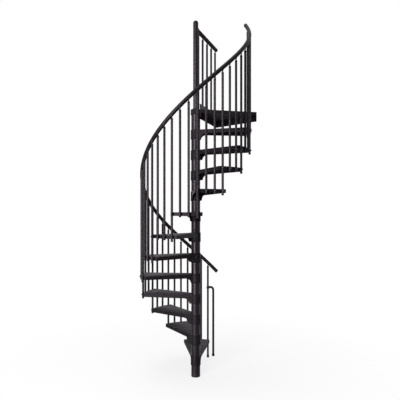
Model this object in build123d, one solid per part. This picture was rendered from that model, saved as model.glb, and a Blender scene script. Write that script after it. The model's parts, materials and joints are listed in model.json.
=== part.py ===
from build123d import *
from math import cos, pi, radians, sin, sqrt
import os

# A steel spiral stair: twelve treads threaded on a column, a landing at the
# top, balusters round the outside and a helical handrail over them.
# The origin is the middle of the column's foot, on the floor, with +Z up.
# Angles are in degrees round the column, anticlockwise from +X seen from above.
# The stair climbs anticlockwise, and the landing's near edge lies close to +X.

# Rise and turn
TREAD_COUNT = 12
RISE = 228.0
TURN = 24.55
START_ANGLE = 75.25

# Column, from the floor up: base disc, spacers and hubs on one long pole
BASE_DIAMETER = 100.0
BASE_THICKNESS = 10.0
POLE_DIAMETER = 58.0
POLE_WALL = 4.0
POLE_FIT = 0.5
POLE_ABOVE_LANDING = 966.0
SPACER_DIAMETER = 100.0
SPACER_WALL = 4.0
HUB_DIAMETER = 112.0
HUB_WALL = 5.0
HUB_END_THICKNESS = 6.0
HUB_HEIGHT = 100.0
LANDING_HUB_HEIGHT = 56.0

# Treads, folded from sheet and welded to their hubs
SHEET = 3.0
TREAD_RADIUS = 586.0
TREAD_LOW_OVERLAP = 2.5
TREAD_HIGH_OVERLAP = 5.0
TREAD_ROOT_WIDTH = 96.0
TREAD_CORNER = 10.0
FLANGE_OUTER_DEPTH = 36.0
FLANGE_ROOT_DEPTH = 44.0
GUSSET_REACH = 60.0

# Balusters and the bosses that hold them off the treads
BALUSTER_DIAMETER = 24.0
BALUSTER_RADIUS = 600.0
BALUSTERS_PER_TREAD = 3
SHORT_BALUSTER_DROP = 46.0
THROUGH_BALUSTER_DROP = 60.0
BOSS_DIAMETER = 14.0
NECK_DIAMETER = 12.0
NECK_LENGTH = 30.0

# Helical handrail, whose centre line lies a little inside the balusters'
RAIL_DIAMETER = 42.0
RAIL_INSET = 6.0
RAIL_HEIGHT_AT_START = 1193.0
RAIL_LEAD = 11.5
RAIL_OVERRUN = 5.0
RAIL_PLUG = 3.0
HANDRAIL_PIECE_COUNT = 6

# Bent bar that closes the handrail's lower end
BENT_BAR_DIAMETER = 27.0
BENT_BAR_ANGLE = 70.5
BENT_BAR_RADIUS = 666.0
BENT_BAR_HEIGHT = 878.0
BENT_BAR_BEND = 45.0

# Landing: a five-sided deck with folded edges, fixed to its hub
LANDING_SHEET = 4.0
LANDING_NEAR_ANGLE = 8.0
LANDING_NEAR_REACH = 700.0
LANDING_SIDE_ANGLE = 16.8
LANDING_SIDE_REACH = 742.0
LANDING_FAR_ANGLE = 67.0
LANDING_FAR_REACH = 624.0
LANDING_EDGE_DEPTH = 82.0
LANDING_NOSE_DEPTH = 36.0

# Plate along the landing's far edge, with a straight balustrade behind it
SIDE_PLATE_THICKNESS = 6.0
SIDE_PLATE_ABOVE = 90.0
SIDE_PLATE_START = 88.0
LANDING_POST_DIAMETER = 33.0
LANDING_POST_PLACE = 65.0
LANDING_BALUSTER_FIRST = 206.0
LANDING_BALUSTER_STEP = 138.0
LANDING_BALUSTER_COUNT = 4
LANDING_BALUSTER_DROP = 60.0
LANDING_RAIL_DIAMETER = 45.0
LANDING_RAIL_HEIGHT = 905.0
LANDING_RAIL_REACH = 678.0

# Sizes that follow from the ones above
LANDING_TOP = RISE * (TREAD_COUNT + 1)
RAIL_RADIUS = BALUSTER_RADIUS - RAIL_INSET
RAIL_PITCH = RISE * 360.0 / TURN
BALUSTER_STEP = TURN / BALUSTERS_PER_TREAD
TREAD_LOW_SIDE = TURN / 2 + TREAD_LOW_OVERLAP
TREAD_HIGH_SIDE = TURN / 2 + TREAD_HIGH_OVERLAP
RAIL_FIRST_ANGLE = START_ANGLE - RAIL_LEAD
RAIL_LAST_ANGLE = START_ANGLE + TURN * TREAD_COUNT + RAIL_OVERRUN
FAR_EDGE_SETBACK = BALUSTER_DIAMETER / 2 + SIDE_PLATE_THICKNESS


def round_column(radius, angle):
    """Plan point at a radius and an angle round the column."""
    return Vector(radius * cos(radians(angle)), radius * sin(radians(angle)), 0)


def tube(outer_diameter, wall, low, high):
    """Round tube on the column's axis, between two levels."""
    ring = Circle(outer_diameter / 2) - Circle(outer_diameter / 2 - wall)
    return extrude(Pos(0, 0, low) * ring, high - low)


def rod(diameter, start, end):
    """Straight round bar between two points."""
    axis = Vector(*end) - Vector(*start)
    return extrude(Plane(origin=start, z_dir=axis) * Circle(diameter / 2), axis.length)


def hub(height):
    """Sleeve closed by two bored end plates, with its top at level 0."""
    outer = HUB_DIAMETER / 2
    inner = outer - HUB_WALL
    bore = POLE_DIAMETER / 2 + POLE_FIT
    section = Polyline(
        (bore, 0),
        (outer, 0),
        (outer, -height),
        (bore, -height),
        (bore, HUB_END_THICKNESS - height),
        (inner, HUB_END_THICKNESS - height),
        (inner, -HUB_END_THICKNESS),
        (bore, -HUB_END_THICKNESS),
        close=True,
    )
    return revolve(Plane.XZ * make_face(section), Axis.Z)


def flange_profile(reach, outer_depth):
    """Side view of a folded edge: shallow outside, curving down to the hub."""
    root = HUB_DIAMETER / 2
    gusset = (root + GUSSET_REACH, -FLANGE_ROOT_DEPTH)
    outer = (reach + SHEET, -outer_depth)
    slope = Vector(*gusset) - Vector(*outer)
    curve = TangentArc(gusset, (root, -HUB_HEIGHT), tangent=slope)
    edges = Polyline((root, -HUB_HEIGHT), (0, -HUB_HEIGHT), (0, SHEET), (reach + SHEET, SHEET), outer, gusset)
    return make_face(curve + edges)


def tread_plan():
    """Wedge with a curved outer edge and rounded outer corners."""
    half = TREAD_ROOT_WIDTH / 2
    root = sqrt((HUB_DIAMETER / 2 - HUB_WALL / 2) ** 2 - half**2)
    left = round_column(TREAD_RADIUS, TREAD_HIGH_SIDE)
    right = round_column(TREAD_RADIUS, -TREAD_LOW_SIDE)
    outline = ThreePointArc(right, (TREAD_RADIUS, 0), left)
    outline += Polyline(left, (root, half), (root, -half), right)
    plan = make_face(outline)
    corners = plan.vertices().sort_by(Axis.X)[-2:]
    return fillet(corners, TREAD_CORNER)


def tread():
    """One tread with its top at level 0 and its middle along +X."""
    plan = tread_plan()
    tray = extrude(plan, -HUB_HEIGHT)
    inside = offset(plan, -SHEET, kind=Kind.INTERSECTION)
    tray -= extrude(Pos(0, 0, -SHEET) * inside, -HUB_HEIGHT)
    width = TREAD_RADIUS
    profile = Plane.XZ * flange_profile(TREAD_RADIUS, FLANGE_OUTER_DEPTH)
    tray &= extrude(profile, width, both=True)
    tray -= Cylinder(HUB_DIAMETER / 2 - HUB_WALL / 2, 3 * HUB_HEIGHT)
    body = tray + hub(HUB_HEIGHT)
    for step in range(BALUSTERS_PER_TREAD + 1):
        body += boss(step * BALUSTER_STEP - TURN / 2)
    return body


def boss(angle):
    """Round distance piece from a tread's outer flange to a baluster."""
    level = Vector(0, 0, -FLANGE_OUTER_DEPTH / 2)
    start = round_column(TREAD_RADIUS - SHEET / 2, angle) + level
    end = round_column(BALUSTER_RADIUS, angle) + level
    seat = Pos(round_column(BALUSTER_RADIUS, angle)) * Cylinder(BALUSTER_DIAMETER / 2, 3 * FLANGE_OUTER_DEPTH)
    return rod(BOSS_DIAMETER, start, end) - seat


def rail_level(angle):
    """Height of the handrail's centre line at an angle round the column."""
    return RAIL_HEIGHT_AT_START + RISE * (angle - START_ANGLE) / TURN


def rail_stand_in(angle):
    """Straight bar that follows the handrail closely beside one baluster."""
    middle = round_column(RAIL_RADIUS, angle) + Vector(0, 0, rail_level(angle))
    along = round_column(RAIL_RADIUS, angle + 90) + Vector(0, 0, RAIL_PITCH / (2 * pi))
    direction = along.normalized() * RAIL_DIAMETER
    return rod(RAIL_DIAMETER, middle - direction, middle + direction)


def upright(place, bottom, middle, rail_diameter, rail):
    """Upright bar with a thin neck, cut to fit under a rail."""
    shoulder = middle - rail_diameter / 2 - NECK_LENGTH
    bar = rod(BALUSTER_DIAMETER, place + Vector(0, 0, bottom), place + Vector(0, 0, shoulder))
    neck = rod(NECK_DIAMETER, place + Vector(0, 0, shoulder), place + Vector(0, 0, middle))
    return bar + (neck - rail)


def baluster(angle, bottom):
    """Upright bar under the helical handrail."""
    place = round_column(BALUSTER_RADIUS, angle)
    return upright(place, bottom, rail_level(angle), RAIL_DIAMETER, rail_stand_in(angle))


def tread_balusters(number):
    """The balusters that start on one tread, the last tied to the next tread."""
    first = START_ANGLE + TURN * (number - 1)
    top = RISE * number
    bars = []
    for step in range(1, BALUSTERS_PER_TREAD + 1):
        drop = THROUGH_BALUSTER_DROP if step == BALUSTERS_PER_TREAD else SHORT_BALUSTER_DROP
        bars.append(baluster(first + step * BALUSTER_STEP, top - drop))
    return Compound(children=bars)


def helical_handrail():
    """Equal lengths of round rail along a helix, and what closes their ends."""
    turn = (RAIL_LAST_ANGLE - RAIL_FIRST_ANGLE) / HANDRAIL_PIECE_COUNT
    path = Helix(RAIL_PITCH, RAIL_PITCH * turn / 360, RAIL_RADIUS)
    section = Plane(origin=path @ 0, z_dir=path % 0) * Circle(RAIL_DIAMETER / 2)
    rail = sweep(section, path=path, is_frenet=True)
    lengths = []
    for number in range(HANDRAIL_PIECE_COUNT):
        angle = RAIL_FIRST_ANGLE + number * turn
        lengths.append(Pos(0, 0, rail_level(angle)) * Rot(0, 0, angle) * rail)
    first = Pos(0, 0, rail_level(RAIL_FIRST_ANGLE)) * Rot(0, 0, RAIL_FIRST_ANGLE)
    last = Pos(0, 0, rail_level(RAIL_LAST_ANGLE - turn)) * Rot(0, 0, RAIL_LAST_ANGLE - turn)
    dome = Plane(origin=path @ 1, z_dir=path % 1) * half_ball(RAIL_DIAMETER)
    plug = extrude(section, -RAIL_PLUG)
    return lengths, Compound(children=[last * dome, first * plug])


def half_ball(diameter):
    """Dome that stands on level 0."""
    radius = diameter / 2
    section = Line((0, 0), (radius, 0))
    section += CenterArc((0, 0), radius, 0, 90)
    section += Line((0, radius), (0, 0))
    return revolve(Plane.XZ * make_face(section), Axis.Z)


def bent_bar():
    """Upright bar from the floor, bent over to meet the first baluster."""
    foot = round_column(BENT_BAR_RADIUS, BENT_BAR_ANGLE)
    target = round_column(BALUSTER_RADIUS, START_ANGLE)
    top = Vector(0, 0, BENT_BAR_HEIGHT)
    path = FilletPolyline(foot, foot + top, target + top, radius=BENT_BAR_BEND)
    bar = sweep(Pos(foot) * Circle(BENT_BAR_DIAMETER / 2), path=path)
    seat = Pos(target + top) * Cylinder(BALUSTER_DIAMETER / 2, 3 * BENT_BAR_DIAMETER)
    bar -= seat
    return bar.solids().sort_by(SortBy.VOLUME)[-1]


def landing_outline():
    """The deck's corners in plan, from the hub along the near edge and round."""
    half = TREAD_ROOT_WIDTH / 2
    root = sqrt((HUB_DIAMETER / 2 - HUB_WALL / 2) ** 2 - half**2)
    near_root = Vector(root, -half, 0).rotate(Axis.Z, LANDING_NEAR_ANGLE + TREAD_HIGH_SIDE)
    return [
        near_root,
        round_column(LANDING_NEAR_REACH, LANDING_NEAR_ANGLE),
        round_column(LANDING_SIDE_REACH, LANDING_SIDE_ANGLE),
        far_edge_point(LANDING_FAR_REACH, FAR_EDGE_SETBACK),
        far_edge_point(HUB_WALL, FAR_EDGE_SETBACK),
    ]


def far_edge_point(distance, setback):
    """Plan point along the landing balustrade, set back towards the deck."""
    return Vector(distance, -setback, 0).rotate(Axis.Z, LANDING_FAR_ANGLE)


def landing():
    """Deck with folded edges, welded to the landing's hub."""
    plan = make_face(Polyline(*landing_outline(), close=True))
    tray = extrude(plan, -LANDING_EDGE_DEPTH)
    inside = offset(plan, -LANDING_SHEET, kind=Kind.INTERSECTION)
    tray -= extrude(Pos(0, 0, -LANDING_SHEET) * inside, -LANDING_EDGE_DEPTH)
    tray -= Cylinder(HUB_DIAMETER / 2 - HUB_WALL / 2, 3 * HUB_HEIGHT)
    nose_cut = Box(
        LANDING_NEAR_REACH - HUB_DIAMETER / 2,
        2 * HUB_DIAMETER,
        LANDING_EDGE_DEPTH,
        align=(Align.MIN, Align.CENTER, Align.MAX),
    )
    nose_cut = Rot(0, 0, LANDING_NEAR_ANGLE) * Pos(HUB_DIAMETER / 2, 0, -LANDING_NOSE_DEPTH) * nose_cut
    last_baluster = Pos(round_column(BALUSTER_RADIUS, START_ANGLE + TURN * TREAD_COUNT))
    hole = last_baluster * Cylinder(BALUSTER_DIAMETER / 2, 4 * LANDING_EDGE_DEPTH)
    return tray - nose_cut - hole + hub(LANDING_HUB_HEIGHT)


def side_plate():
    """Upright plate bolted along the landing's far edge."""
    length = LANDING_FAR_REACH - SIDE_PLATE_START
    height = SIDE_PLATE_ABOVE + LANDING_EDGE_DEPTH
    plate = Box(length, SIDE_PLATE_THICKNESS, height, align=(Align.MIN, Align.MIN, Align.MIN))
    corner = far_edge_point(SIDE_PLATE_START, FAR_EDGE_SETBACK)
    return Pos(corner) * Pos(0, 0, -LANDING_EDGE_DEPTH) * Rot(0, 0, LANDING_FAR_ANGLE) * plate


def landing_rail():
    """Straight handrail from the newel, with a domed end."""
    level = Vector(0, 0, LANDING_RAIL_HEIGHT)
    start = far_edge_point(0, 0) + level
    end = far_edge_point(LANDING_RAIL_REACH - LANDING_RAIL_DIAMETER / 2, 0) + level
    newel = Cylinder(POLE_DIAMETER / 2, 3 * LANDING_RAIL_HEIGHT)
    dome = Plane(origin=end, z_dir=end - start) * half_ball(LANDING_RAIL_DIAMETER)
    bar = rod(LANDING_RAIL_DIAMETER, start, end) - newel
    bar = bar.solids().sort_by(SortBy.VOLUME)[-1]
    return bar + dome


def landing_uprights():
    """The post beside the newel, and the balusters along the side plate."""
    rail = rod(
        LANDING_RAIL_DIAMETER,
        far_edge_point(0, 0) + Vector(0, 0, LANDING_RAIL_HEIGHT),
        far_edge_point(LANDING_RAIL_REACH, 0) + Vector(0, 0, LANDING_RAIL_HEIGHT),
    )
    foot = far_edge_point(LANDING_POST_PLACE, 0)
    post = rod(LANDING_POST_DIAMETER, foot, foot + Vector(0, 0, LANDING_RAIL_HEIGHT)) - rail
    bars = []
    for number in range(LANDING_BALUSTER_COUNT):
        place = far_edge_point(LANDING_BALUSTER_FIRST + number * LANDING_BALUSTER_STEP, 0)
        bars.append(upright(place, -LANDING_BALUSTER_DROP, LANDING_RAIL_HEIGHT, LANDING_RAIL_DIAMETER, rail))
    return post, Compound(children=bars)


def save(shape, name):
    """Write one named sub-part."""
    shape.label = name
    export_step(shape, os.path.join("parts", name + ".step"))


def main():
    os.makedirs("parts", exist_ok=True)

    save(extrude(Circle(BASE_DIAMETER / 2), BASE_THICKNESS), "base_disc")
    pole_top = LANDING_TOP + POLE_ABOVE_LANDING
    save(tube(POLE_DIAMETER, POLE_WALL, BASE_THICKNESS, pole_top), "centre_pole")
    save(Pos(0, 0, pole_top) * half_ball(POLE_DIAMETER), "newel_cap")

    spacers = []
    low = BASE_THICKNESS
    for number in range(1, TREAD_COUNT + 1):
        spacers.append(tube(SPACER_DIAMETER, SPACER_WALL, low, RISE * number - HUB_HEIGHT))
        low = RISE * number
    spacers.append(tube(SPACER_DIAMETER, SPACER_WALL, low, LANDING_TOP - LANDING_HUB_HEIGHT))
    save(Compound(children=spacers), "column_spacers")

    one_tread = tread()
    for number in range(1, TREAD_COUNT + 1):
        middle = START_ANGLE + TURN * (number - 0.5)
        save(Pos(0, 0, RISE * number) * Rot(0, 0, middle) * one_tread, f"tread_{number:02d}")
        save(tread_balusters(number), f"balusters_{number:02d}")

    save(baluster(START_ANGLE, 0.0), "first_baluster")
    save(bent_bar(), "bent_start_bar")

    lengths, rail_ends = helical_handrail()
    for number, rail in enumerate(lengths, 1):
        save(rail, f"handrail_{number}")
    save(rail_ends, "handrail_ends")

    up = Pos(0, 0, LANDING_TOP)
    post, bars = landing_uprights()
    save(up * landing(), "landing_deck")
    save(up * side_plate(), "landing_side_plate")
    save(up * landing_rail(), "landing_handrail")
    save(up * post, "landing_post")
    save(up * bars, "landing_balusters")


main()
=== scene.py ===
"""Dress for the black steel spiral stair: its small fittings, its finishes and the studio.

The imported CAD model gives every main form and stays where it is. The classes below
add what is bolted, capped or welded on, as surfaces worked out with numpy, and give
each part its paint. All lengths are metres, +Z is up, and the column stands on the
origin. Angles run anticlockwise from +X, seen from above.
"""

from __future__ import annotations

import json
import logging
from dataclasses import dataclass
from enum import Enum
from functools import cached_property
from typing import Any, Callable, ClassVar

import bpy
import numpy as np
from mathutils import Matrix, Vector

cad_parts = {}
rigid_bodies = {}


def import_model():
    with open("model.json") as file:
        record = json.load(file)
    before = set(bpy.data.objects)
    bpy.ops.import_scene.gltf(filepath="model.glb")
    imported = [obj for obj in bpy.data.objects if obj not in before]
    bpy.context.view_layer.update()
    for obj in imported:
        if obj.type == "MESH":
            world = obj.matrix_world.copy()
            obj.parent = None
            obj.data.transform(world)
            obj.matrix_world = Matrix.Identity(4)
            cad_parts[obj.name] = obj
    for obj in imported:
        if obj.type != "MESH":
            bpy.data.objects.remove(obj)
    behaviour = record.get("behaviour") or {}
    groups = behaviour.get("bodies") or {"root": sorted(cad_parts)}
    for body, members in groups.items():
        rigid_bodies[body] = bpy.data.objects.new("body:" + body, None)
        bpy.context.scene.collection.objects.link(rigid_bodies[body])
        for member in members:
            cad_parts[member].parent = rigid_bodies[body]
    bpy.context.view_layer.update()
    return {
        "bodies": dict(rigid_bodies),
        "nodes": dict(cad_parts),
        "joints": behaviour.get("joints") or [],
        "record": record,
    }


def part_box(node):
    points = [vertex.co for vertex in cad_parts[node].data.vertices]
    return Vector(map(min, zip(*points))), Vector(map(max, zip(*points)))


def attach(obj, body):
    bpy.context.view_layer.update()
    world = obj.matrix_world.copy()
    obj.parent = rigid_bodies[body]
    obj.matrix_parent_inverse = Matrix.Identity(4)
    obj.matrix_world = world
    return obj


Colour = tuple[float, float, float]
Section = np.ndarray | list[tuple[float, float]]
Frame = dict[str, Any]
Piece = bpy.types.Object
Node = bpy.types.Node
Output = tuple[Node, str | int]
log = logging.getLogger("stair")

SHARP_EDGE = np.radians(38.0)
HEAD_STEPS = 18
BEAD_STEPS = 8
NUT_FLATS = 0.013
NUT_HEIGHT = 0.0095
PLUG_DEPTH = 0.0042
PLUG_STAND_OUT = 0.0004
# How far a ring starts inside its bar, a nut sits in its seat and a screw's head moves out.
TUCK = 0.001
NUT_SINK = 0.0004
HEAD_GAP = 0.0002
UP = np.array([0.0, 0.0, 1.0])
UPRIGHT = np.eye(3)


class Slot(Enum):
    """Material slots that the record names."""

    PAINT = "black_paint"
    FITTINGS = "black_fittings"


class Facing(Enum):
    """Which way a fixing points at a baluster."""

    OUTWARD = 1.0
    INWARD = -1.0


# Surfaces


@dataclass
class Shell:
    """A closed surface as plain arrays, until it becomes a mesh.

    Quads and triangles are kept apart, so both stay whole arrays.
    """

    points: np.ndarray
    quads: np.ndarray
    triangles: np.ndarray

    @classmethod
    def joined(cls, shells: list[Shell]) -> Shell:
        """Put several shells into one.

        Args:
            shells: The shells, none of them empty.

        Returns:
            One shell whose face numbers are shifted past the points before them.
        """
        starts = np.cumsum([0] + [len(s.points) for s in shells[:-1]])
        return cls(
            np.concatenate([s.points for s in shells]),
            np.concatenate([s.quads + k for s, k in zip(shells, starts)]),
            np.concatenate([s.triangles + k for s, k in zip(shells, starts)]),
        )

    def repeated(self, origins: np.ndarray, axes: np.ndarray = UPRIGHT) -> Shell:
        """Set copies of this shell in place.

        A point (x, y, z) of copy k goes to origin k + x times its first axis,
        y times its second and z times its third.

        Args:
            origins: Where each copy's origin goes, one row a copy.
            axes: The three axes as rows, for each copy or for all of them alike.

        Returns:
            One shell that holds every copy.
        """
        points = origins[:, None] + self.points @ axes
        shift = np.arange(len(origins))[:, None, None] * len(self.points)
        return Shell(
            points.reshape(-1, 3),
            (self.quads + shift).reshape(-1, 4),
            (self.triangles + shift).reshape(-1, 3),
        )

    def to_object(self, name: str, coat: Coat) -> Piece:
        """Make a Blender object that rides on the stair.

        Args:
            name: The piece's name.
            coat: Its finish.

        Returns:
            The new object, at the origin, with its place in its mesh.
        """
        mesh = bpy.data.meshes.new(name)
        loops = np.concatenate([self.quads.ravel(), self.triangles.ravel()]).astype(np.int32)
        sizes = np.repeat([4, 3], [len(self.quads), len(self.triangles)])
        mesh.vertices.add(len(self.points))
        mesh.vertices.foreach_set("co", self.points.astype(np.float32).ravel())
        mesh.loops.add(len(loops))
        mesh.loops.foreach_set("vertex_index", loops)
        mesh.polygons.add(len(sizes))
        mesh.polygons.foreach_set("loop_start", (np.cumsum(sizes) - sizes).astype(np.int32))
        mesh.polygons.foreach_set("use_smooth", np.ones(len(sizes), dtype=bool))
        mesh.update(calc_edges=True)
        mesh.validate()
        mesh.set_sharp_from_angle(angle=SHARP_EDGE)
        material, slot = coat.material, coat.slot
        mesh.materials.append(material)
        piece = bpy.data.objects.new(name, mesh)
        bpy.context.scene.collection.objects.link(piece)
        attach(piece, "root")
        return piece


def round_angles(steps: int) -> np.ndarray:
    """Angles of even steps round a full turn."""
    return 2 * np.pi * np.arange(steps) / steps


def polar_grid(radius: np.ndarray, level: np.ndarray) -> np.ndarray:
    """Rows of points (r cos a, r sin a, z), with even angles a along each row.

    Args:
        radius: Radius r of every point, one row a level.
        level: Height z of each row.

    Returns:
        The points, in the same rows.
    """
    angle = round_angles(radius.shape[1])
    height = np.broadcast_to(level[:, None], radius.shape)
    return np.stack([radius * np.cos(angle), radius * np.sin(angle), height], axis=-1)


def lathe(section: Section, steps: int, ring: bool = False) -> Shell:
    """Turn a section round the third axis.

    The point at step i and section point j is (r_j cos a_i, r_j sin a_i, z_j),
    with a_i = 2 pi i / steps.

    Args:
        section: Radius and height of each point. An open section starts and ends on
            the axis and climbs; a ring's section is a loop that climbs on its outside.
        steps: How many times the section is set round the axis.
        ring: True where the section is a loop that stays off the axis.

    Returns:
        A closed shell whose faces point outwards.
    """
    body = np.array(section if ring else section[1:-1])
    radius = np.repeat(body[:, :1], steps, axis=1)
    return closed_grid(polar_grid(radius, body[:, 1]), ring, section[0][1], section[-1][1])


def closed_grid(grid: np.ndarray, ring: bool, low: float = 0.0, high: float = 0.0) -> Shell:
    """Turn a grid of rows round the third axis into a closed shell.

    Args:
        grid: Rows of points, each row going anticlockwise round the axis.
        ring: True joins the last row to the first; False closes both ends with a
            fan to one point on the axis.
        low: Height of the first row's end point.
        high: Height of the last row's end point.

    Returns:
        The shell, with outward faces.
    """
    rows, steps = grid.shape[:2]
    number = np.arange(rows * steps).reshape(rows, steps)
    turned = np.roll(number, -1, axis=1)
    if ring:
        above, above_turned = np.roll(number, -1, axis=0), np.roll(turned, -1, axis=0)
        quads = np.stack([number, turned, above_turned, above], axis=-1).reshape(-1, 4)
        return Shell(grid.reshape(-1, 3), quads, np.zeros((0, 3), dtype=int))
    quads = np.stack([number[:-1], turned[:-1], turned[1:], number[1:]], axis=-1).reshape(-1, 4)
    first, last = rows * steps, rows * steps + 1
    fans = [
        np.stack([np.full(steps, first), turned[0], number[0]], axis=-1),
        np.stack([np.full(steps, last), number[-1], turned[-1]], axis=-1),
    ]
    points = np.concatenate([grid.reshape(-1, 3), [[0.0, 0.0, low], [0.0, 0.0, high]]])
    return Shell(points, quads, np.concatenate(fans))


def band(inner: float, outer: float, low: float, high: float, rounding: float, steps: int) -> Shell:
    """A ring with four rounded edges.

    Each corner is a quarter circle of radius `rounding`, sampled at four angles.

    Args:
        inner: Inside radius.
        outer: Outside radius.
        low: Lower level.
        high: Upper level.
        rounding: Radius of the edges.
        steps: Steps round the ring.

    Returns:
        The ring, round the third axis.
    """
    quarter = np.linspace(0.0, np.pi / 2, 4)
    turns = np.array([-np.pi / 2, 0.0, np.pi / 2, np.pi])[:, None] + quarter
    near, far, bottom, top = inner + rounding, outer - rounding, low + rounding, high - rounding
    centres = np.array([(far, bottom), (far, top), (near, top), (near, bottom)])[:, None]
    section = centres + rounding * np.stack([np.cos(turns), np.sin(turns)], axis=-1)
    return lathe(section.reshape(-1, 2), steps, ring=True)


def hexagon(across_flats: float) -> np.ndarray:
    """Radius of a hexagon at even angles.

    The radius is f / (2 cos b), with b the angle from the nearest flat's middle.

    Args:
        across_flats: Width f over two flats.

    Returns:
        One radius for each step round a nut or screw.
    """
    from_flat = (round_angles(HEAD_STEPS) + np.pi / 6) % (np.pi / 3) - np.pi / 6
    return across_flats / (2 * np.cos(from_flat))


def cap_nut() -> Shell:
    """Domed cap nut that stands on level 0.

    Its foot is a hexagon, and its dome is an ellipse in section. Between them the
    radius is the smaller of the hexagon's and a cone's, which rounds the corners off.

    Returns:
        One nut of a few dozen faces.
    """
    cone_levels = NUT_HEIGHT * np.array([0.0, 0.38, 0.47])
    cone_radius = NUT_FLATS * np.array([0.54, 0.6, 0.49])
    dome_foot, dome_radius = 0.5 * NUT_HEIGHT, 0.43 * NUT_FLATS
    rise = np.linspace(0.0, np.pi / 2, 5)[:-1]
    foot = np.minimum(hexagon(NUT_FLATS), cone_radius[:, None])
    dome = dome_radius * np.cos(rise)[:, None] * np.ones(HEAD_STEPS)
    levels = np.concatenate([cone_levels, dome_foot + (NUT_HEIGHT - dome_foot) * np.sin(rise)])
    return closed_grid(polar_grid(np.concatenate([foot, dome]), levels), ring=False, high=NUT_HEIGHT)


def socket_screw(radius: float, height: float) -> Shell:
    """Button-head screw with a six-sided socket, standing on level 0.

    The head is a quarter ellipse in section, and the socket goes down to a third
    of the height.

    Args:
        radius: The head's radius.
        height: The head's height.

    Returns:
        One screw head of a few dozen faces.
    """
    socket_radius, rim, floor_edge, floor_middle = 0.42 * radius, 0.97, 0.34, 0.3
    swing = np.radians(np.array([0.0, 12.0, 40.0, 62.0]))
    head = radius * np.cos(swing)[:, None] * np.ones(HEAD_STEPS)
    socket = hexagon(2 * socket_radius * np.cos(np.pi / 6))[None]
    levels = height * np.append(0.98 * np.sin(swing), [rim, floor_edge])
    grid = polar_grid(np.concatenate([head, socket, socket]), levels)
    return closed_grid(grid, ring=False, high=height * floor_middle)


def plug_dome(radius: float) -> np.ndarray:
    """Section of a plug's shallow dome, a part of an ellipse, from its tip up to level 0."""
    swing = np.radians(np.array([90.0, 60.0, 30.0, 0.0]))
    return np.stack([radius * np.cos(swing), -PLUG_DEPTH * np.sin(swing)], axis=-1)


def weld_bead(length: float, radius: float, seed: int) -> Shell:
    """Rippled bead that runs up from level 0.

    Its radius is r (1 + 0.1 sin(2 pi s / 3.1 mm + w)), tapered at both ends by the
    square root of the distance to them, and w drifts a little along the bead.

    Args:
        length: Length of the bead.
        radius: Mean radius.
        seed: Seed of the drift, so that each run gives the same bead.

    Returns:
        One bead.
    """
    sample, ripple_length, depth = 0.0016, 0.0031, 0.1
    count = int(length / sample)
    along = np.linspace(0.0, 1.0, count)
    drift = np.cumsum(np.random.default_rng(seed).normal(0.0, 0.25, count))
    ripple = 1.0 + depth * np.sin(2 * np.pi * along * length / ripple_length + drift)
    taper = np.sqrt(np.clip(np.minimum(along, 1.0 - along) * length / (2 * radius), 0.02, 1.0))
    section = [(0.0, 0.0), *zip(radius * ripple * taper, along * length), (0.0, length)]
    return lathe(section, BEAD_STEPS)


# Where things are


@dataclass(frozen=True)
class StairPlan:
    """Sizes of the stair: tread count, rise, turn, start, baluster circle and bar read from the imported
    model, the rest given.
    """

    treads: int
    rise: float
    turn: float
    start: float
    circle: float
    bar: float
    bosses: int = 3
    hub: float = 0.056
    spacer: float = 0.050
    hub_height: float = 0.100
    landing_hub_height: float = 0.056
    pole: float = 0.029
    flange_reach: float = 0.583
    boss_drop: float = 0.018
    root_half_width: float = 0.048
    rail_radius: float = 0.021
    rail_start: float = 1.193
    neck: float = 0.006
    neck_length: float = 0.030
    short_drop: float = 0.046
    through_drop: float = 0.060

    @classmethod
    def from_frame(cls, frame: Frame) -> StairPlan:
        """Read the stair's rise, turn and baluster circle from its nodes.


        Returns:
            The plan.
        """
        names = sorted(name for name in frame["nodes"] if name.startswith("tread_"))
        middles = [node_points(frame["nodes"][name]).mean(axis=0) for name in names]
        directions = [complex(x, y) for x, y, _ in middles]
        tops = [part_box(name)[1][2] for name in names]
        steps = np.angle(np.array(directions[1:]) / np.array(directions[:-1]))
        low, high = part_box("first_baluster")
        middle = (np.array(low) + np.array(high)) / 2
        return cls(
            treads=len(names),
            rise=float(np.mean(np.diff(tops))),
            turn=float(np.mean(steps)),
            start=float(np.arctan2(middle[1], middle[0])),
            circle=float(np.hypot(middle[0], middle[1])),
            bar=float(high[0] - low[0]) / 2,
        )

    @property
    def landing_top(self) -> float:
        """Level of the landing's deck."""
        return self.rise * (self.treads + 1)

    def baluster_angle(self, number: np.ndarray) -> np.ndarray:
        """Angle of a baluster, counted from the one that stands on the floor."""
        return self.start + number * self.turn / self.bosses

    def rail_level(self, angle: np.ndarray) -> np.ndarray:
        """Height of the handrail's centre line over an angle."""
        return self.rail_start + self.rise * (angle - self.start) / self.turn

    def outward(self, angle: np.ndarray) -> np.ndarray:
        """Level unit vectors away from the column."""
        return np.stack([np.cos(angle), np.sin(angle), np.zeros_like(angle)], axis=-1)

    def spots(self, angle: np.ndarray, radius: float, level: np.ndarray | float) -> np.ndarray:
        """Points by angle, distance from the axis and level."""
        return self.outward(angle) * radius + np.reshape(level, (-1, 1)) * UP

    def on_circle(self, shape: Shell, angle: np.ndarray, level: np.ndarray) -> Shell:
        """Upright copies of a shape on the baluster circle."""
        return shape.repeated(self.spots(angle, self.circle, level))

    def every_baluster(self) -> np.ndarray:
        """Numbers of all the balusters, from the one that stands on the floor."""
        return np.arange(self.treads * self.bosses + 1)

    def boss_places(self) -> tuple[np.ndarray, np.ndarray]:
        """Angles and levels of every boss between a tread and a baluster.

        Returns:
            The angles, and the bosses' levels, one for each of the four on a tread.
        """
        tread, step = np.meshgrid(np.arange(self.treads), np.arange(self.bosses + 1), indexing="ij")
        angle = self.baluster_angle(tread.ravel() * self.bosses + step.ravel())
        return angle, self.rise * (tread.ravel() + 1.0) - self.boss_drop


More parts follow.
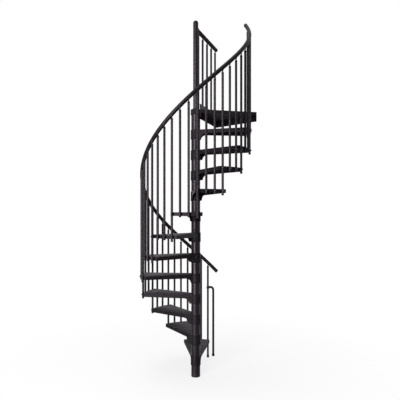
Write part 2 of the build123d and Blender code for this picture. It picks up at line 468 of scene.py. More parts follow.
def node_points(node: Piece) -> np.ndarray:
    """A CAD node's points, one row each."""
    return np.array([vertex.co for vertex in node.data.vertices], dtype=float)


def axes_along(direction: np.ndarray) -> np.ndarray:
    """Axes of copies whose third axis follows level directions.

    Args:
        direction: A unit vector square to +Z, or one for each copy.

    Returns:
        First, second and third axes, right-handed, the first along +Z.
    """
    up = np.broadcast_to(UP, direction.shape)
    return np.stack([up, np.cross(direction, up), direction], axis=-2)


# Finishes


@dataclass
class Pen:
    """Short ways to add nodes to one tree and join them."""

    tree: bpy.types.NodeTree

    @classmethod
    def over(cls, block: bpy.types.Material | bpy.types.World) -> Pen:
        """A pen for the emptied node tree of a material or world.

        Args:
            block: The material or world.

        Returns:
            The pen.
        """
        block.use_nodes = True
        block.node_tree.nodes.clear()
        return cls(block.node_tree)

    def node(self, kind: str, **values: float | tuple[float, ...]) -> Node:
        """Add a node and set its inputs by name.

        Args:
            kind: Blender's name of the node type.
            values: Input values, by socket name.

        Returns:
            The node.
        """
        made = self.tree.nodes.new(kind)
        for name, value in values.items():
            made.inputs[name.replace("_", " ")].default_value = value
        return made

    def link(self, source: Node, output: str | int, target: Node, name: str | int) -> None:
        """Join one node's output to another's input."""
        self.tree.links.new(source.outputs[output], target.inputs[name])

    def maths(self, operation: str, *terms: float | Output) -> Node:
        """Add a Math node over numbers and other nodes' outputs.

        Args:
            operation: Blender's name of the operation.
            terms: A number, or a node with the output to read.

        Returns:
            The Math node.
        """
        made = self.tree.nodes.new("ShaderNodeMath")
        made.operation = operation
        for place, term in enumerate(terms):
            if isinstance(term, tuple):
                self.link(term[0], term[1], made, place)
            else:
                made.inputs[place].default_value = term
        return made

    def ramp_value(
        self, source: Output, start: float, end: float, low: float = 0.0, high: float = 1.0
    ) -> Node:
        """Map a value smoothly from one range to another.

        Args:
            source: The node and output to read.
            start: Value that gives `low`.
            end: Value that gives `high`.
            low: Result at and before the start.
            high: Result at and past the end.

        Returns:
            The Map Range node, whose output 0 is the result.
        """
        made = self.tree.nodes.new("ShaderNodeMapRange")
        made.interpolation_type = "SMOOTHSTEP"
        self.link(source[0], source[1], made, "Value")
        for name, value in (("From Min", start), ("From Max", end), ("To Min", low), ("To Max", high)):
            made.inputs[name].default_value = value
        return made

    def blend(self, factor: Output, first: Colour | Output, second: Colour | Output) -> Node:
        """Mix two colours, each given as a colour or as a node's output.

        Args:
            factor: Node and output that give how much of the second shows.
            first: The colour at 0.
            second: The colour at 1.

        Returns:
            The Mix node, whose output 2 is the colour.
        """
        made = self.tree.nodes.new("ShaderNodeMix")
        made.data_type = "RGBA"
        self.link(factor[0], factor[1], made, 0)
        for place, colour in ((6, first), (7, second)):
            if isinstance(colour[0], Node):
                self.link(colour[0], colour[1], made, place)
            else:
                made.inputs[place].default_value = (*colour, 1.0)
        return made

    def mix_shaders(self, factor: Output, first: Node, second: Node) -> Node:
        """Mix two shaders.

        Args:
            factor: Node and output that give how much of the second shows.
            first: The shader at 0.
            second: The shader at 1.

        Returns:
            The Mix Shader node.
        """
        made = self.tree.nodes.new("ShaderNodeMixShader")
        self.link(*factor, made, 0)
        self.link(first, 0, made, 1)
        self.link(second, 0, made, 2)
        return made

    def seen(self) -> Node:
        """A value that is 1 for camera, glossy and transmission rays, else 0.

        Returns:
            The Math node that gives it.
        """
        path = self.node("ShaderNodeLightPath")
        first = self.maths("MAXIMUM", (path, "Is Camera Ray"), (path, "Is Glossy Ray"))
        return self.maths("MAXIMUM", (first, 0), (path, "Is Transmission Ray"))

    def use(self, effect: Effect, place: Node, **values: float) -> Node:
        """Add a node that runs an effect over Object coordinates.

        Args:
            effect: The effect.
            place: A Texture Coordinate node.
            values: The effect's values, by socket name.

        Returns:
            The group node.
        """
        made = self.tree.nodes.new("ShaderNodeGroup")
        made.node_tree = effect.group
        self.link(place, "Object", made, "Vector")
        for name, value in values.items():
            made.inputs[name].default_value = value
        return made


@dataclass
class EffectPen(Pen):
    """A pen inside an effect's node group, between its input and its output."""

    start: Node
    end: Node

    def noise(self, **values: float) -> Node:
        """Add a noise texture over the group's Vector.

        Args:
            values: Input values, by socket name.

        Returns:
            The noise node, whose output 0 is the value.
        """
        made = self.node("ShaderNodeTexNoise", **values)
        self.link(self.start, "Vector", made, "Vector")
        return made

    def peel(self) -> None:
        """Soft low bumps of sprayed powder: two noises of unlike size, added."""
        start, broad_share = self.start, 0.23
        fine = self.noise(Detail=2.0, Roughness=0.45)
        broad = self.noise(Detail=1.0)
        bump = self.node("ShaderNodeBump", Strength=0.55)
        self.link(start, "Scale", fine, "Scale")
        self.link(self.maths("MULTIPLY", (start, "Scale"), broad_share), 0, broad, "Scale")
        self.link(self.maths("ADD", (fine, 0), (broad, 0)), 0, bump, "Height")
        self.link(start, "Depth", bump, "Distance")
        self.link(start, "Normal", bump, "Normal")
        self.link(bump, 0, self.end, "Normal")

    def drift(self) -> None:
        """A wide noise for the slow change of tone, and a steep ramp on a fine one for specks."""
        wide = self.noise(Scale=5.5, Detail=4.0, Roughness=0.55)
        fine = self.noise(Scale=900.0, Detail=1.0)
        self.link(self.ramp_value((wide, 0), 0.32, 0.68), 0, self.end, "Tone")
        self.link(self.ramp_value((fine, 0), 0.60, 0.74), 0, self.end, "Speck")

    def wear(self) -> None:
        """How far a rounded edge's normal leans from the face's, broken up by noise."""
        bevel = self.node("ShaderNodeBevel", Radius=0.0016)
        bevel.samples = 6
        lean = self.node("ShaderNodeVectorMath")
        lean.operation = "DOT_PRODUCT"
        self.link(bevel, 0, lean, 0)
        self.link(self.node("ShaderNodeNewGeometry"), "True Normal", lean, 1)
        turned = self.ramp_value((lean, "Value"), 0.97, 0.78)
        noise = self.noise(Scale=38.0, Detail=5.0, Roughness=0.7)
        patches = self.ramp_value((noise, 0), 0.42, 0.66)
        self.link(self.maths("MULTIPLY", (turned, 0), (patches, 0)), 0, self.end, "Edge")
        self.link(bevel, 0, self.end, "Normal")

    def dust_and_top_light(self) -> None:
        """The normal's height, so that only what faces up gets dust, and on the treads painted top light,
        times a patchy noise.
        """
        parts = self.node("ShaderNodeSeparateXYZ")
        self.link(self.node("ShaderNodeNewGeometry"), "Normal", parts, 0)
        level = self.ramp_value((parts, "Z"), 0.55, 0.95)
        noise = self.noise(Scale=9.0, Detail=6.0, Roughness=0.62)
        patches = self.ramp_value((noise, 0), 0.25, 0.75, low=0.55)
        self.link(self.maths("MULTIPLY", (level, 0), (patches, 0)), 0, self.end, "Dust and Top Light")


VECTOR, VALUE = "NodeSocketVector", "NodeSocketFloat"


@dataclass(frozen=True)
class Effect:
    """A node group over "Vector" that several finishes use."""

    name: str
    draw: Callable[[EffectPen], None]
    outputs: dict[str, str]
    inputs: dict[str, str] | None = None

    @cached_property
    def group(self) -> bpy.types.NodeTree:
        """The node group, built when it is first asked for.

        Returns:
            The group, with its sockets and nodes.
        """
        tree = bpy.data.node_groups.new(self.name, "ShaderNodeTree")
        for way, sockets in (("INPUT", {"Vector": VECTOR, **(self.inputs or {})}), ("OUTPUT", self.outputs)):
            for name, kind in sockets.items():
                tree.interface.new_socket(name, in_out=way, socket_type=kind)
        start, end = (tree.nodes.new(kind) for kind in ("NodeGroupInput", "NodeGroupOutput"))
        self.draw(EffectPen(tree, start, end))
        return tree


PEEL = Effect(
    "orange_peel", EffectPen.peel, {"Normal": VECTOR}, {"Scale": VALUE, "Depth": VALUE, "Normal": VECTOR}
)
DRIFT = Effect("paint_drift", EffectPen.drift, {"Tone": VALUE, "Speck": VALUE})
WEAR = Effect("edge_wear", EffectPen.wear, {"Edge": VALUE, "Normal": VECTOR})
# Dust on what faces up; on the treads it also carries painted top light.
DUST_AND_TOP_LIGHT = Effect("dust_and_painted_top_light", EffectPen.dust_and_top_light, {"Dust and Top Light": VALUE})

GREY: Colour = (0.0043, 0.0032, 0.0045)
SOFT_GREY: Colour = (0.0060, 0.0046, 0.0062)
DUSTY: Colour = (0.078, 0.069, 0.078)
RUBBED: Colour = (0.075, 0.067, 0.076)
SHEEN_TINT = (1.0, 0.86, 1.0, 1.0)
WHITE = (1.0, 1.0, 1.0, 1.0)


@dataclass(frozen=True)
class Coat:
    """A finish on metal or plastic: tone, gloss, peel, dust with painted top light, and worn edges."""

    name: str
    roughness: float
    specular: float
    tone: Colour = GREY
    lighter: Colour = SOFT_GREY
    dust_and_top_light_colour: Colour = DUSTY
    rubbed: Colour = RUBBED
    metallic: float = 0.0
    peel_scale: float = 420.0
    peel_depth: float = 0.00006
    dust_and_top_light: float = 0.3
    wear: float = 0.0
    slot: Slot = Slot.PAINT
    gloss_drift: tuple[float, float] = (-0.03, 0.04)
    speck_roughness: float = 0.05
    dust_roughness: float = 0.35

    @cached_property
    def material(self) -> bpy.types.Material:
        """The material, made when it is first asked for.

        The tone drifts between two close colours, dust lightens what faces up (on the treads also as painted
        top light), edges show a rubbed colour, and roughness follows tone and dust.

        Returns:
            The material.
        """
        material = bpy.data.materials.new(self.name)
        material.diffuse_color = (*self.tone, 1.0)
        pen = Pen.over(material)
        place = pen.node("ShaderNodeTexCoord")
        drift = pen.use(DRIFT, place)
        dust_and_top_light = pen.use(DUST_AND_TOP_LIGHT, place)
        peel = pen.use(PEEL, place, Scale=self.peel_scale, Depth=self.peel_depth)

        paint = pen.blend((drift, "Tone"), self.tone, self.lighter)
        # Dust lightens what faces up; on the treads this mask also carries painted top light.
        dust_and_top_light_mask = pen.maths("MULTIPLY", (dust_and_top_light, "Dust and Top Light"), self.dust_and_top_light)
        colour = pen.blend((dust_and_top_light_mask, 0), (paint, 2), self.dust_and_top_light_colour)
        if self.wear > 0.0:
            wear = pen.use(WEAR, place)
            pen.link(wear, "Normal", peel, "Normal")
            wear_mask = pen.maths("MULTIPLY", (wear, "Edge"), self.wear)
            colour = pen.blend((wear_mask, 0), (colour, 2), self.rubbed)

        shader = pen.node(
            "ShaderNodeBsdfPrincipled",
            Metallic=self.metallic,
            Specular_IOR_Level=self.specular,
            Specular_Tint=SHEEN_TINT,
        )
        pen.link(colour, 2, shader, "Base Color")
        low, high = (self.roughness + shift for shift in self.gloss_drift)
        gloss = pen.ramp_value((drift, "Tone"), 0.0, 1.0, low, high)
        specks = pen.maths("MULTIPLY", (drift, "Speck"), self.speck_roughness)
        rough = pen.maths("ADD", (gloss, 0), (specks, 0))
        dull = pen.maths("MULTIPLY_ADD", (dust_and_top_light_mask, 0), self.dust_roughness, (rough, 0))
        dull.use_clamp = True
        pen.link(dull, 0, shader, "Roughness")
        pen.link(peel, "Normal", shader, "Normal")
        pen.link(shader, 0, pen.node("ShaderNodeOutputMaterial"), "Surface")
        return material


POWDER = Coat("satin_powder_coat", 0.38, 0.100, dust_and_top_light=0.06)
COLUMN = Coat("column_powder_coat", 0.36, 0.135, dust_and_top_light=0.04)
RAIL = Coat("handrail_powder_coat", 0.44, 0.060, dust_and_top_light=0.01)
WELD = Coat("painted_weld", 0.38, 0.100, peel_scale=900.0, dust_and_top_light=0.08)
# The treads' pale dusty colour and strong dust share are painted top light over a little real dust.
STEP = Coat(
    "tread_powder_coat", 0.50, 0.046, tone=(0.0070, 0.0056, 0.0072),
    lighter=(0.0095, 0.0078, 0.0098), dust_and_top_light_colour=(0.165, 0.150, 0.165), peel_scale=300.0,
    peel_depth=0.00011, dust_and_top_light=0.80, wear=0.35,
)
# The deck's tones are lighter than the treads' paint: painted light on its shaded underside.
DECK = Coat(
    "deck_powder_coat", 0.60, 0.018, tone=(0.0190, 0.0158, 0.0192),
    lighter=(0.0230, 0.0192, 0.0232), peel_scale=300.0, peel_depth=0.00011, dust_and_top_light=0.60,
    wear=0.25,
)
SLEEVE = Coat(
    "landing_rail_coat", 0.46, 0.038, tone=(0.0026, 0.0021, 0.0027),
    lighter=(0.0034, 0.0028, 0.0035), dust_and_top_light=0.01,
)
MOULDED = Coat(
    "moulded_black", 0.52, 0.05, tone=(0.0036, 0.0029, 0.0037),
    lighter=(0.0054, 0.0045, 0.0055), peel_scale=1100.0, peel_depth=0.00004, dust_and_top_light=0.05,
    slot=Slot.FITTINGS,
)
ZINC = Coat(
    "black_zinc", 0.38, 0.5, tone=(0.014, 0.012, 0.015), lighter=(0.024, 0.021, 0.025),
    rubbed=(0.10, 0.095, 0.11), metallic=0.8, peel_scale=1600.0, peel_depth=0.00002, dust_and_top_light=0.04,
    wear=0.5, slot=Slot.FITTINGS,
)


def dress(frame: Frame, prefix: str, coat: Coat) -> None:
    """Give a finish to every CAD node whose name starts with a prefix.

    Args:
        prefix: Start of the nodes' names.
        coat: The finish.
    """
    for name, node in frame["nodes"].items():
        if name.startswith(prefix):
            if not node.material_slots:
                node.data.materials.append(coat.material)
            for slot in node.material_slots:
                slot.material = coat.material


# Sub-assemblies


@dataclass
class SubAssembly:
    """Part of the stair: CAD nodes to dress, by the start of their names, and new pieces."""

    coats: ClassVar[dict[str, Coat]]
    plan: StairPlan

    def pieces(self) -> dict[str, tuple[Shell, Coat]]:
        """Surface and finish of each new piece, by its name."""
        raise NotImplementedError

    def build(self, frame: Frame) -> list[Piece]:
        """Dress the CAD nodes and add the new pieces.


        Returns:
            The new pieces, in order.
        """
        for prefix, coat in self.coats.items():
            dress(frame, prefix, coat)
        return [shell.to_object(name, coat) for name, (shell, coat) in self.pieces().items()]


@dataclass
class Column(SubAssembly):
    """The column: hubs and spacers on a pole that runs on as the newel."""

    coats = {"base_disc": COLUMN, "centre_pole": COLUMN, "column_spacers": COLUMN, "newel_cap": MOULDED}
    seam_height: float = 0.0035
    seam_stand_out: float = 0.0035
    collar_height: float = 0.009
    collar_stand_out: float = 0.011

    def seam_rings(self) -> Shell:
        """Thin moulded rings at the ends of every hub.

        Each is a ring with rounded edges, as band() gives, on the spacer's skin.

        Returns:
            All the rings as one shell.
        """
        plan = self.plan
        tops = plan.rise * np.arange(1, plan.treads + 2)
        below = np.append(tops[:-1] - plan.hub_height, tops[-1] - plan.landing_hub_height)
        levels = np.concatenate([tops[:-1], below - self.seam_height])
        outside = plan.spacer + self.seam_stand_out
        ring = band(plan.spacer - TUCK, outside, 0.0, self.seam_height, rounding=0.0012, steps=48)
        return ring.repeated(levels[:, None] * UP)

    def newel_rings(self) -> Shell:
        """A collar where the newel leaves the landing's hub, and one under its cap.

        Returns:
            Both rings as one shell.
        """
        plan = self.plan
        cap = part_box("newel_cap")[0][2]
        outside = plan.pole + self.collar_stand_out
        collar = band(plan.pole - TUCK, outside, 0.0, self.collar_height, rounding=0.003, steps=48)
        lip = band(plan.pole - 0.002, plan.pole + 0.0008, -0.0015, 0.0015, rounding=0.0006, steps=48)
        collar.points[:, 2] += plan.landing_top
        lip.points[:, 2] += cap
        return Shell.joined([collar, lip])

    def pieces(self) -> dict[str, tuple[Shell, Coat]]:
        """Rings at the hubs and on the newel."""
        return {"hub_seam_rings": (self.seam_rings(), MOULDED), "newel_rings": (self.newel_rings(), MOULDED)}


@dataclass
class TreadFlight(SubAssembly):
    """The twelve treads, welded to their hubs."""

    coats = {"tread_": STEP}
    bead_radius: float = 0.0032
    bead_margin: float = 0.003

    def weld_beads(self) -> Shell:
        """A rippled bead down both sides of each hub, where a gusset meets it.

        A bead stands where the gusset's face, at the root's half width h, cuts the
        hub's circle of radius R: at (sqrt(R squared - h squared), h) from the axis.

        Returns:
            All the beads as one shell.
        """
        plan = self.plan
        bead = weld_bead(plan.hub_height - 2 * self.bead_margin, self.bead_radius, seed=7)
        reach = np.sqrt(plan.hub**2 - plan.root_half_width**2)
        numbers = np.arange(plan.treads)
        middle = plan.start + plan.turn * (numbers + 0.5)
        along = plan.outward(middle)
        beside = np.stack([-along[:, 1], along[:, 0], along[:, 2]], axis=-1)
        level = (plan.rise * (numbers + 1.0) - plan.hub_height + self.bead_margin)[:, None] * UP
        offset = beside * plan.root_half_width
        origins = np.concatenate([along * reach + offset + level, along * reach - offset + level])
        return bead.repeated(origins)

    def pieces(self) -> dict[str, tuple[Shell, Coat]]:
        """The beads."""
        return {"tread_weld_beads": (self.weld_beads(), WELD)}


@dataclass
class Balustrade(SubAssembly):
    """Balusters round the stair, with the clamps, nuts, ferrules and plugs on them."""

    coats = {"balusters_": POWDER, "first_baluster": POWDER}
    clamp_height: float = 0.022
    clamp_stand_out: float = 0.0016
    screw_radius: float = 0.0070
    screw_height: float = 0.0045

    def clamps(self) -> Shell:
        """A thin band round each baluster at each boss.

        Returns:
            All the bands as one shell.
        """
        plan = self.plan
        half = self.clamp_height / 2
        outside = plan.bar + self.clamp_stand_out
        ring = band(plan.bar - TUCK, outside, -half, half, rounding=0.0009, steps=28)
        return plan.on_circle(ring, *plan.boss_places())

    def fixings(self, shape: Shell, reach: float, facing: Facing) -> Shell:
        """Copies of a nut or screw at every boss, along the radius.

        Args:
            shape: One fixing that stands on level 0.
            reach: Distance from the column's axis to its seat.
            facing: Whether it points away from the column or towards it.

        Returns:
            All of them as one shell.
        """
        angle, level = self.plan.boss_places()
        outward = self.plan.outward(angle)
        origins = self.plan.spots(angle, reach, level)
        return shape.repeated(origins, axes_along(outward * facing.value))

    def under_rail(self, section: Section, steps: int, drop: float = 0.0) -> Shell:
        """Rings round every baluster's axis, at one distance under the handrail's skin.

        Args:
            section: Radius and height of each point of the ring's section.
            steps: Steps round the ring.
            drop: Distance of the section's level 0 under the handrail's lowest line.

        Returns:
            All the rings as one shell.
        """
        plan = self.plan
        angle = plan.baluster_angle(plan.every_baluster())
        level = plan.rail_level(angle) - plan.rail_radius - drop
        return plan.on_circle(lathe(section, steps, ring=True), angle, level)

    def ferrules(self) -> Shell:
        """A tapered cap where each baluster narrows to its neck.

        Its section runs from the bar's radius, over a small bead, down to the
        neck's radius, and back inside the bar.

        Returns:
            All the ferrules as one shell.
        """
        skin, neck = self.plan.bar, self.plan.neck
        section = [
            (neck - TUCK, -0.010), (skin + 0.0002, -0.010), (skin + 0.0012, -0.0085),
            (skin + 0.0012, -0.001), (skin + 0.0004, 0.0012), (skin - 0.0035, 0.0045),
            (neck + 0.0012, 0.0075), (neck + 0.0006, 0.011), (neck - TUCK, 0.011),
        ]
        return self.under_rail(section, steps=24, drop=self.plan.neck_length)

    def saddles(self) -> Shell:
        """A small flared seat between each neck and the handrail.

        Returns:
            All the seats as one shell.
        """
        neck = self.plan.neck
        section = [
            (neck - TUCK, -0.007), (neck + 0.0010, -0.007), (neck + 0.0016, -0.0045),
            (neck + 0.0045, -0.0010), (neck + 0.0050, 0.0055), (neck - TUCK, 0.0055),
        ]
        return self.under_rail(section, steps=20)

    def end_plugs(self) -> Shell:
        """A shallow plug, as plug_dome() gives, in every baluster's free lower end.

        Returns:
            All the plugs as one shell.
        """
        plan = self.plan
        number = plan.every_baluster()[1:]
        through = number % plan.bosses == 0
        tread = (number + plan.bosses - 1) // plan.bosses
        skin = plan.bar + PLUG_STAND_OUT
        section = [*plug_dome(skin), (skin, 0.0022), (skin - 0.0006, 0.0026), (0.0, 0.0026)]
        level = plan.rise * tread - np.where(through, plan.through_drop, plan.short_drop)
        return plan.on_circle(lathe(section, steps=24), plan.baluster_angle(number), level)

    def pieces(self) -> dict[str, tuple[Shell, Coat]]:
        """Every fitting of the balusters.

        Returns:
            Surface and finish of each, by its name.
        """
        plan = self.plan
        nut_seat = plan.circle + plan.bar + self.clamp_stand_out - NUT_SINK
        nuts = self.fixings(cap_nut(), nut_seat, Facing.OUTWARD)
        screw = socket_screw(self.screw_radius, self.screw_height)
        screws = self.fixings(screw, plan.flange_reach + HEAD_GAP, Facing.INWARD)
        return {
            "baluster_clamps": (self.clamps(), POWDER),
            "baluster_cap_nuts": (nuts, ZINC),
            "tread_edge_screws": (screws, ZINC),
            "baluster_ferrules": (self.ferrules(), MOULDED),
            "handrail_saddles": (self.saddles(), POWDER),
            "baluster_end_plugs": (self.end_plugs(), MOULDED),
        }


@dataclass
class StartBar(SubAssembly):
    """The bent bar at the foot of the stair, its clamp and the two feet."""

    coats = {"bent_start_bar": POWDER}
    bent_bar: Piece
    bar: float = 0.0135
    level: float = 0.878
    foot_height: float = 0.030
    foot_stand_out: float = 0.0028
    clamp_stand_out: float = 0.0026
    clamp_half_height: float = 0.018
    sleeve_stand_out: float = 0.0022
    sleeve_span: tuple[float, float] = (0.0085, 0.0225)

    def bar_place(self) -> np.ndarray:
        """The middle of the bent bar's foot, on the floor.

        Returns:
            The point.
        """
        points = node_points(self.bent_bar)
        foot = points[points[:, 2] < 0.01]
        return np.append((foot[:, :2].min(axis=0) + foot[:, :2].max(axis=0)) / 2, 0.0)

    def feet(self) -> Shell:
        """A moulded sleeve round the foot of both bars.

        Returns:
            Both sleeves as one shell.
        """
        plan = self.plan
        first = plan.spots(np.array([plan.start]), plan.circle, 0.0)[0]
        shells = []
        for place, radius in ((first, plan.bar), (self.bar_place(), self.bar)):
            outside = radius + self.foot_stand_out
            sleeve = band(radius - TUCK, outside, 0.0, self.foot_height, rounding=0.0018, steps=28)
            sleeve.points += place
            shells.append(sleeve)
        return Shell.joined(shells)

    def clamp(self) -> tuple[Shell, Shell]:
        """The band that ties the bent bar to the first baluster, and its cap nut.

        Returns:
            The band with the sleeve on the bar's end, and the nut on the far side.
        """
        plan, half = self.plan, self.clamp_half_height
        post = plan.spots(np.array([plan.start]), plan.circle, 0.0)[0]
        towards = self.bar_place() - post
        towards /= np.linalg.norm(towards)
        origin = (post + self.level * UP)[None]
        skin, outside = plan.bar, plan.bar + self.clamp_stand_out
        ring = band(skin - TUCK, outside, -half, half, rounding=0.0016, steps=32)
        ring.points += origin
        skin, outside = self.bar, self.bar + self.sleeve_stand_out
        sleeve = band(skin - TUCK, outside, *self.sleeve_span, rounding=0.0012, steps=32)
        sleeve = sleeve.repeated(origin, axes_along(towards))
        nut_seat = plan.bar + self.clamp_stand_out - NUT_SINK
        nut = cap_nut().repeated(origin - towards * nut_seat, axes_along(-towards))
        return Shell.joined([ring, sleeve]), nut

    def pieces(self) -> dict[str, tuple[Shell, Coat]]:
        """The clamp with its nut, and the feet.

        Returns:
            Surface and finish of each, by its name.
        """
        clamp, nut = self.clamp()
        return {
            "bent_bar_clamp": (clamp, POWDER),
            "bent_bar_cap_nut": (nut, ZINC),
            "foot_sleeves": (self.feet(), MOULDED),
        }


@dataclass
class Handrail(SubAssembly):
    """The helical handrail and the rings at its two ends."""

    coats = {"handrail_": RAIL, "handrail_ends": MOULDED}
    inset: float = 0.006
    lead: float = np.radians(11.5)
    overrun: float = np.radians(5.0)

    def end_rings(self) -> Shell:
        """A thin ring at each end, square to the helix.

        The helix climbs by k = rise / turn for each radian, so its direction over
        the angle a is (-R sin a, R cos a, k), made a unit.

        Returns:
            Both rings as one shell.
        """
        plan = self.plan
        radius = plan.circle - self.inset
        last = plan.baluster_angle(plan.every_baluster())[-1]
        angle = np.array([plan.start - self.lead, last + self.overrun])
        climb = np.full(2, plan.rise / plan.turn)
        origins = plan.spots(angle, radius, plan.rail_level(angle))
        along = np.stack([-radius * np.sin(angle), radius * np.cos(angle), climb], axis=-1)
        along /= np.linalg.norm(along, axis=1, keepdims=True)
        across = plan.outward(angle)
        axes = np.stack([across, np.cross(along, across), along], axis=1)
        skin = plan.rail_radius
        ring = band(skin - 0.002, skin + 0.0006, -0.0014, 0.0014, rounding=0.0005, steps=36)
        return ring.repeated(origins, axes)

    def pieces(self) -> dict[str, tuple[Shell, Coat]]:
        """The rings."""
        return {"handrail_end_rings": (self.end_rings(), MOULDED)}


@dataclass
class Landing(SubAssembly):
    """The deck, the plate along its far edge and the straight balustrade on it."""

    coats = {
        "landing_deck": DECK,
        "landing_side_plate": POWDER,
        "landing_post": POWDER,
        "landing_balusters": POWDER,
        "landing_handrail": SLEEVE,
    }
    far_angle: float = np.radians(67.0)
    post_place: float = 0.065
    post_radius: float = 0.0165
    first_bar: float = 0.206
    bar_step: float = 0.138
    bar_count: int = 4
    bar_drop: float = 0.060
    plate: float = 0.006
    rail_height: float = 0.905
    rail_radius: float = 0.0225
    rail_reach: float = 0.678
    bolt_levels: tuple[float, float] = (0.050, -0.041)

    @property
    def edge(self) -> np.ndarray:
        """Unit vector along the far edge, away from the column."""
        return np.array([np.cos(self.far_angle), np.sin(self.far_angle), 0.0])

    @property
    def inward(self) -> np.ndarray:
        """Unit vector square to the far edge, over the deck."""
        return np.array([np.sin(self.far_angle), -np.cos(self.far_angle), 0.0])

    def spot(self, along: np.ndarray | float, setback: float, level: float) -> np.ndarray:
        """Points by distance along the far edge, setback to the deck, and level over it."""
        up = (self.plan.landing_top + level) * UP
        return np.atleast_1d(along)[:, None] * self.edge + setback * self.inward + up

    def at_bars(self, setback: float, level: float) -> np.ndarray:
        """One point at each of the balusters on the far edge."""
        return self.spot(self.first_bar + self.bar_step * np.arange(self.bar_count), setback, level)

    def bolts(self) -> Shell:
        """Cap nuts on the balusters' far side and screws through the plate.

        Returns:
            All the nuts and screws as one shell.
        """
        bar, (upper, lower) = self.plan.bar, self.bolt_levels
        nut, screw = cap_nut(), socket_screw(radius=0.0078, height=0.0048)
        inner, outer = axes_along(self.inward), axes_along(-self.inward)
        head_seat, nut_seat = bar + self.plate - HEAD_GAP, NUT_SINK - bar
        shells = [
            screw.repeated(self.at_bars(head_seat, upper), inner),
            nut.repeated(self.at_bars(nut_seat, upper), outer),
            nut.repeated(self.at_bars(nut_seat, lower), outer),
        ]
        return Shell.joined(shells)

    def caps(self) -> Shell:
        """Ferrules, bottom plugs and the post's foot ring, all moulded black.

        Returns:
            All of them as one shell.
        """
        plan, bar, neck = self.plan, self.plan.bar, self.plan.neck
        shoulder = self.rail_height - self.rail_radius - plan.neck_length
        section = [
            (neck - TUCK, -0.010), (bar + 0.0010, -0.010), (bar + 0.0010, 0.0),
            (bar - 0.0035, 0.0045), (neck + 0.0010, 0.0085), (neck - TUCK, 0.0085),
        ]
        ferrule = lathe(section, steps=24, ring=True)
        skin, post = bar + PLUG_STAND_OUT, self.post_radius
        plug = lathe([*plug_dome(skin), (skin, 0.0022), (0.0, 0.0022)], steps=24)
        foot = band(post - TUCK, post + 0.005, 0.0, 0.006, rounding=0.0018, steps=32)
        shells = [
            ferrule.repeated(self.at_bars(0.0, shoulder)),
            plug.repeated(self.at_bars(0.0, -self.bar_drop)),
            foot.repeated(self.spot(self.post_place, 0.0, 0.0)),
        ]
        return Shell.joined(shells)

    def rail_rings(self) -> Shell:
        """A collar where the straight rail meets the newel, and a ring before its dome.

        Returns:
            Both of them as one shell.
        """
        skin, axes = self.rail_radius, axes_along(self.edge)
        collar = band(skin - TUCK, skin + 0.004, 0.0, 0.012, rounding=0.0025, steps=36)
        ring = band(skin - 0.002, skin + 0.0007, -0.0015, 0.0015, rounding=0.0006, steps=36)
        shells = [
            collar.repeated(self.spot(self.plan.pole - 0.004, 0.0, self.rail_height), axes),
            ring.repeated(self.spot(self.rail_reach - skin, 0.0, self.rail_height), axes),
        ]
        return Shell.joined(shells)

    def pieces(self) -> dict[str, tuple[Shell, Coat]]:
        """The landing's fittings.

        Returns:
            Surface and finish of each, by its name.
        """
        return {
            "landing_bolts": (self.bolts(), ZINC),
            "landing_caps": (self.caps(), MOULDED),
            "landing_rail_rings": (self.rail_rings(), SLEEVE),
        }


# The studio


@dataclass(frozen=True)
class Lamp:
    """One soft area lamp, aimed at a point on the column."""

    name: str
    place: tuple[float, float, float]
    aim: tuple[float, float, float]
    size: tuple[float, float]
    watts: float
    sheen_only: bool = False

    def build(self) -> None:
        """Add the lamp to the scene."""
        data = bpy.data.lights.new(self.name, "AREA")
        data.shape = "RECTANGLE"
        data.size, data.size_y = self.size
        data.energy = self.watts
        lamp = bpy.data.objects.new(self.name, data)
        way = np.array(self.aim) - np.array(self.place)
        lamp.location = self.place
        lamp.rotation_mode = "QUATERNION"
        lamp.rotation_quaternion = Vector(way.tolist()).to_track_quat("-Z", "Y")
        lamp.visible_diffuse = not self.sheen_only
        bpy.context.scene.collection.objects.link(lamp)


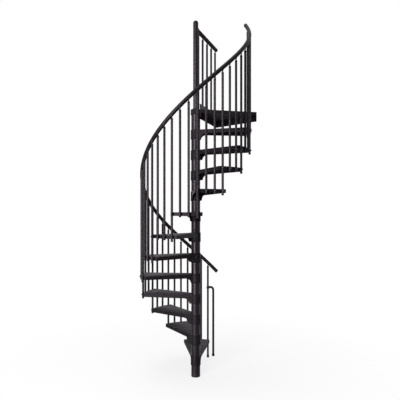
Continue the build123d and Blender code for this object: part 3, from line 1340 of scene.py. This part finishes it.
@dataclass
class Studio:
    """Pale floor, white surroundings, plain soft lamps and the camera."""

    eye: tuple[float, float, float] = (0.0, -4.52, 1.826)
    lens: float = 36.49
    shift: tuple[float, float] = (0.0107, 0.03)
    floor_half: float = 30.0
    room_light: float = 0.03
    floor_tone: float = 0.9
    floor_bounce: float = 0.75
    floor_glow: tuple[float, float] = (0.84, 1.0)
    glow_reach: tuple[float, float] = (0.4, 3.2)
    lamps: tuple[Lamp, ...] = (
        Lamp("front_left", (-3.0, -4.2, 2.6), (0.0, 0.0, 2.0), (1.2, 5.0), 230.0),
        Lamp("sheen_strip", (-2.8, -4.2, 1.0), (0.0, 0.0, 1.0), (2.2, 9.4), 1700.0, sheen_only=True),
        Lamp("front_right", (3.9, -1.9, 2.3), (0.0, 0.0, 2.0), (0.4, 5.4), 30.0),
        Lamp("overhead", (-0.9, -1.3, 12.0), (0.0, 0.0, 2.0), (6.5, 6.5), 1050.0),
    )

    def world(self) -> None:
        """White where it is seen, and a dim even light on the stair."""
        world = bpy.data.worlds.new("white_studio")
        bpy.context.scene.world = world
        pen = Pen.over(world)
        light = pen.node("ShaderNodeBackground", Color=WHITE, Strength=self.room_light)
        white = pen.node("ShaderNodeBackground", Color=WHITE, Strength=1.0)
        mix = pen.mix_shaders((pen.seen(), 0), light, white)
        pen.link(mix, 0, pen.node("ShaderNodeOutputWorld"), "Surface")

    def floor(self) -> None:
        """A plain pale floor that keeps the stair's shadow and sends little light up."""
        half = self.floor_half
        mesh = bpy.data.meshes.new("floor")
        corners = [(-half, -half, 0.0), (half, -half, 0.0), (half, half, 0.0), (-half, half, 0.0)]
        mesh.from_pydata(corners, [], [(0, 1, 2, 3)])
        floor = bpy.data.objects.new("floor", mesh)
        bpy.context.scene.collection.objects.link(floor)
        floor.visible_shadow = False
        material = bpy.data.materials.new("pale_floor")
        pen = Pen.over(material)
        tone, bounce = self.floor_tone, self.floor_bounce
        shown = pen.node("ShaderNodeBsdfDiffuse", Color=(tone, tone, tone, 1.0))
        glow = pen.node("ShaderNodeEmission", Color=WHITE, Strength=1.0)
        unseen = pen.node("ShaderNodeBsdfDiffuse", Color=(bounce, bounce, bounce, 1.0))
        reach = pen.node("ShaderNodeVectorMath")
        reach.operation = "LENGTH"
        pen.link(pen.node("ShaderNodeTexCoord"), "Object", reach, 0)
        fade = pen.ramp_value((reach, "Value"), *self.glow_reach, *self.floor_glow)
        seen = pen.mix_shaders((fade, 0), shown, glow)
        mix = pen.mix_shaders((pen.seen(), 0), unseen, seen)
        pen.link(mix, 0, pen.node("ShaderNodeOutputMaterial"), "Surface")
        mesh.materials.append(material)

    def camera(self) -> None:
        """A level camera in front, at the photograph's height and distance."""
        data = bpy.data.cameras.new("camera")
        data.lens = self.lens
        data.sensor_width = 36.0
        data.shift_x, data.shift_y = self.shift
        camera = bpy.data.objects.new("camera", data)
        camera.location = self.eye
        camera.rotation_euler = (np.pi / 2, 0.0, 0.0)
        bpy.context.scene.collection.objects.link(camera)
        bpy.context.scene.camera = camera

    def build(self) -> None:
        """Set up the whole studio."""
        bpy.context.scene.view_settings.view_transform = "Standard"
        self.world()
        self.floor()
        for lamp in self.lamps:
            lamp.build()
        self.camera()


def main() -> None:
    """Dress the stair, piece by piece, and set up the studio."""
    logging.basicConfig(level=logging.INFO, format="%(name)s: %(message)s")
    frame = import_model()
    plan = StairPlan.from_frame(frame)
    log.info("rise %.4f m, turn %.3f degrees, %d treads", plan.rise, np.degrees(plan.turn), plan.treads)
    for part in (
        Column(plan),
        TreadFlight(plan),
        Balustrade(plan),
        StartBar(plan, frame["nodes"]["bent_start_bar"]),
        Handrail(plan),
        Landing(plan),
    ):
        for piece in part.build(frame):
            log.info("%s: %s, %d faces", type(part).__name__, piece.name, len(piece.data.polygons))
    Studio().build()
    bpy.context.view_layer.update()


if __name__ == "__main__":
    main()
